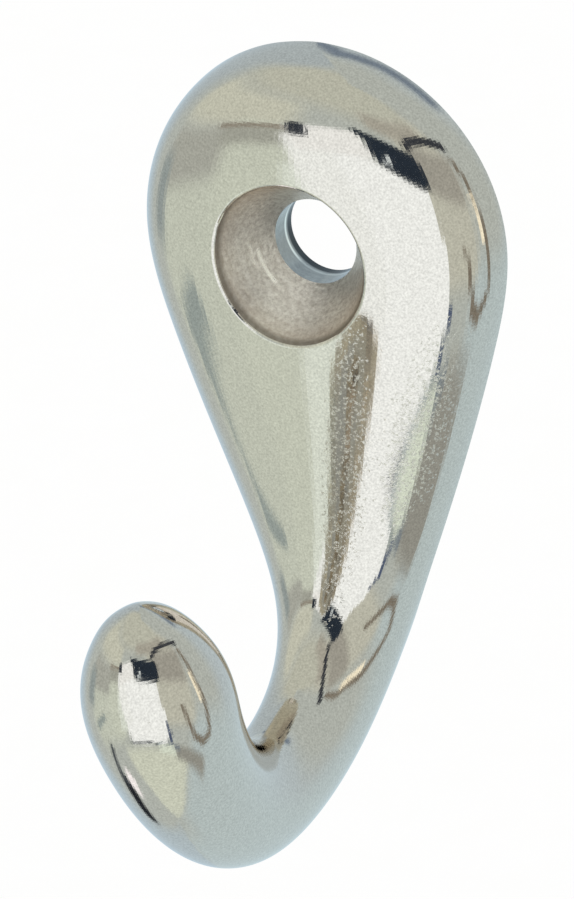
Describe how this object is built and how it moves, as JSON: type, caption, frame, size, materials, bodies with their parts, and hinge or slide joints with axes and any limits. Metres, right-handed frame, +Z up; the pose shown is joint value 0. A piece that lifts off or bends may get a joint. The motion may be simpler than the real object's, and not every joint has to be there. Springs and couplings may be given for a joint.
{
  "type": "towel hook",
  "caption": "Small cast wall hook with a tapered domed plate, a countersunk screw hole and an upturned arm that ends in an egg-shaped knob.",
  "frame": {"origin": "on the axis of the screw hole, at the wall face", "axes": "+Z up the wall, +Y into the wall, -Y the way the arm and knob stand out, +X to the right as the front is looked at"},
  "size_m": [0.0194, 0.0257, 0.0391],
  "materials": {
    "nickel_plating": "polished nickel plating over a one-piece casting"
  },
  "bodies": {
    "root": {"hook": "nickel_plating"}
  },
  "joints": []
}
